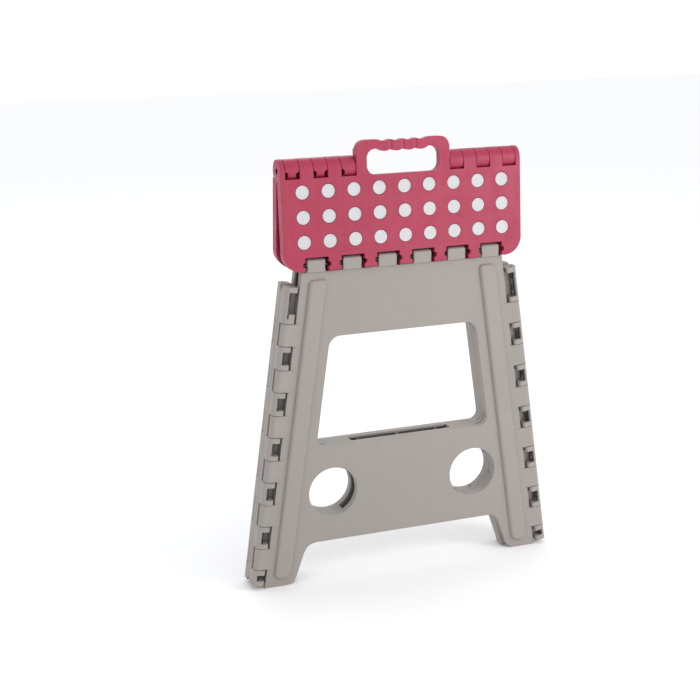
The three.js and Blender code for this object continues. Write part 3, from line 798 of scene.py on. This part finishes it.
leaf = {
    "half": 146.5 * mm, "lowerEdge": -1.5 * mm, "depth": 12.5 * mm, "wall": 2.7 * mm,
    "corner": 21.5 * mm, "cornerSteps": 24, "cornerReach": 23.5 * mm, "sides": 32,
    "plugRadius": 3.2 * mm, "plug": 1.5 * mm,
    "earRadius": 2.9 * mm, "earUp": 6.2 * mm, "earDepth": 7.4 * mm, "notchHalf": 14 * mm,
    "bossLow": 121.8 * mm, "bossHigh": 126.5 * mm, "bossRadius": 7.1 * mm, "bossDepth": 8.21 * mm,
    "bossUp": 5.13 * mm,
}


# The end wall runs round each lower corner in a true arc
def cornerShape(place):
    half, low, wall, reach = (leaf[k] for k in ("half", "lowerEdge", "wall", "cornerReach"))
    outline = [
        (-half, low + reach, 0), (-half, low, leaf["corner"]), (reach - half, low, 0),
        (reach - half, low + wall, 0), (wall - half, low + wall, leaf["corner"] - wall),
        (wall - half, low + reach, 0),
    ]
    whole = bmesh.new()
    for side in (-1, 1):
        part = plate(outline, 0, leaf["depth"], leaf["cornerSteps"])
        if side > 0:
            bmesh.ops.scale(part, vec=(-1, 1, 1), verts=part.verts)
            bmesh.ops.reverse_faces(part, faces=part.faces)
        scrap = bpy.data.meshes.new("corner")
        part.to_mesh(scrap)
        part.free()
        whole.from_mesh(scrap)
        bpy.data.meshes.remove(scrap)
    bmesh.ops.transform(whole, matrix=place, verts=whole.verts)
    return whole


# A rod along the leaf at each of its ends
def rodPair(low, high, depth, up, radius, place):
    shape = bmesh.new()
    for side in (-1, 1):
        middle = Matrix.Translation((side * (low + high) / 2, depth, up))
        addRod(shape, place @ middle @ alongWidth, radius, high - low, leaf["sides"])
    return shape


# Discs about the centre hinge in the ends of the leaf
def plugShape(place):
    return rodPair(
        leaf["half"] - leaf["plug"], leaf["half"], shoulders["centreDepth"], shoulders["centreUp"],
        leaf["plugRadius"], place)


# The bosses round the hook wire reach a little past the outermost hooks
def bossShape(place):
    return rodPair(
        leaf["bossLow"], leaf["bossHigh"], leaf["bossDepth"], leaf["bossUp"], leaf["bossRadius"], place)


# Small pockets beside each hook, in front of the wire
def earTool(place):
    shape = bmesh.new()
    y, long = (leaf["earDepth"] - stool["overrun"]) / 2, leaf["earDepth"] + stool["overrun"]
    for x in evenly(hooks["count"], hooks["pitch"]):
        for side in (-1, 1):
            middle = Matrix.Translation((x + side * leaf["notchHalf"], y, leaf["earUp"]))
            addRod(shape, place @ middle @ intoDepth, leaf["earRadius"], long, leaf["sides"])
    return shape


# The holes that the grip dots stand in
def gripHoles(half, place):
    shape = bmesh.new()
    depth = grips["holeDepth"] + stool["overrun"]
    for node in sorted(n for n in frame["nodes"] if n.startswith(half + "_grip_row_")):
        for x in gripPlaces(node):
            middle = Matrix.Translation((x, depth / 2 - stool["overrun"], gripUp(node)))
            addRod(shape, place @ middle @ intoDepth, grips["holeRadius"], depth, grips["sides"])
    return shape


def dressTopLeaf(half, rear):
    node = half + "_top_leaf"
    place = leafFrame(rear)
    shape = copyOf(node)
    for added in (cornerShape, plugShape, bossShape):
        shape = carve(shape, added(place), "UNION")
    shape = carve(shape, earTool(place))
    if rear:
        shape = carve(shape, shoulderTool())
    else:
        low = (-handle["cutHalf"], -stool["overrun"], handle["cut"])
        high = (handle["cutHalf"], handle["cutDepth"], handle["top"] + stool["overrun"])
        shape = carve(shape, boxTool(low, high, place))
        shape = carve(shape, handleShape(place), "UNION")
    finishPiece(carve(shape, gripHoles(half, place)), node)


wires = {  # each wire's radius and its two ends, in the frame that it is drawn in; crease is in radians
    "sides": 24, "edge": 0.5 * mm, "edgeSteps": 2, "crease": 1.2,
    "sideRadius": 2 * mm, "sideLow": 12 * mm, "sideHigh": 363.2 * mm,
    "hookRadius": 2.5 * mm, "hookHalf": 123 * mm,
    "foldRadius": 1.8 * mm, "foldAcross": 105.712 * mm,
    "centreRadius": 2 * mm, "centreInner": 57.3 * mm, "centreOuter": 146.2 * mm,
}


# A round wire between two points, with softened rims
def dressPin(node, start, end, radius):
    shape = bmesh.new()
    turn = (end - start).to_track_quat("Z", "Y").to_matrix().to_4x4()
    place = Matrix.Translation((start + end) / 2) @ turn
    addRod(shape, place, radius, (end - start).length, wires["sides"])
    rims = [e for e in shape.edges if isCrease(e, wires["crease"])]
    roundEdges(shape, rims, wires["edge"], wires["edgeSteps"])
    finishPiece(shape, node, flatten=False)


def dressSideAndHookPins(half, rear, sides):
    for side, mirrored in sides:
        place = sideFrame(rear, mirrored)
        ends = [place @ Vector((0, 0, wires[k])) for k in ("sideLow", "sideHigh")]
        dressPin(f"{side}_{half}_side_pin", *ends, wires["sideRadius"])
    depth = stool["wireDepth"] * (1 if rear else -1)
    ends = [Vector((s * wires["hookHalf"], depth, stool["wireUp"])) for s in (-1, 1)]
    dressPin(half + "_hook_pin", *ends, wires["hookRadius"])


def dressCentrePin(node, side):
    place = leafFrame(False)
    ends = [place @ Vector((side * wires[k], shoulders["centreDepth"], shoulders["centreUp"]))
            for k in ("centreInner", "centreOuter")]
    dressPin(node, *ends, wires["centreRadius"])


# The box of a leaning pin is longer along the pin than the pin itself, by what the lean adds
def dressFoldPin(node):
    place = sideFrame(False, node.startswith("right"))
    low, high = sorted((place.inverted() @ Vector(c)).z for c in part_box(node))
    trim = wires["foldRadius"] * math.sin(lean) * 2
    ends = [place @ Vector((wires["foldAcross"], stool["wireDepth"], z)) for z in (low + trim, high - trim)]
    dressPin(node, *ends, wires["foldRadius"])


makeCamera()
makeLights()
print("stage: camera and lights")

finishes = {
    "leg_grey": makePlastic("legPlastic", plastics["legGrey"]),
    "top_pink": makePlastic("topPlastic", plastics["topPink"], marked=True),
    "grip_white": makePlastic("gripPlastic", plastics["gripWhite"]),
    "pin_steel": makeSteel("pinWire"),
}
print("stage: materials")

halves = [  # name, whether it is the rear one, and its sides with whether they are mirrored
    ("front", False, (("left", False), ("right", True))),
    ("rear", True, (("right", False), ("left", True))),
]
for half, rear, _ in halves:
    dressLeg(half + "_leg_panel", rear)
    dressTopLeaf(half, rear)
print("stage: legs and top")

for half, rear, sides in halves:
    for side, mirrored in sides:
        dressSideLeaf(f"{side}_{half}_side_leaf", rear, mirrored)
print("stage: side leaves")

for node in frame["nodes"]:
    if "_grip_row_" in node:
        dressGripRow(node, node.startswith("rear"))
print("stage: grips")

for half, rear, sides in halves:
    dressSideAndHookPins(half, rear, sides)
dressCentrePin("left_centre_pin", -1)
dressCentrePin("right_centre_pin", 1)
for node in frame["nodes"]:
    if "_fold_pin_" in node:
        dressFoldPin(node)
print("stage: wires")

bpy.ops.mesh.primitive_plane_add(size=2 * floor["half"])
ground = bpy.context.object
ground.name = "floor"
ground.data.materials.append(makeFloorFinish())
print("stage: floor")
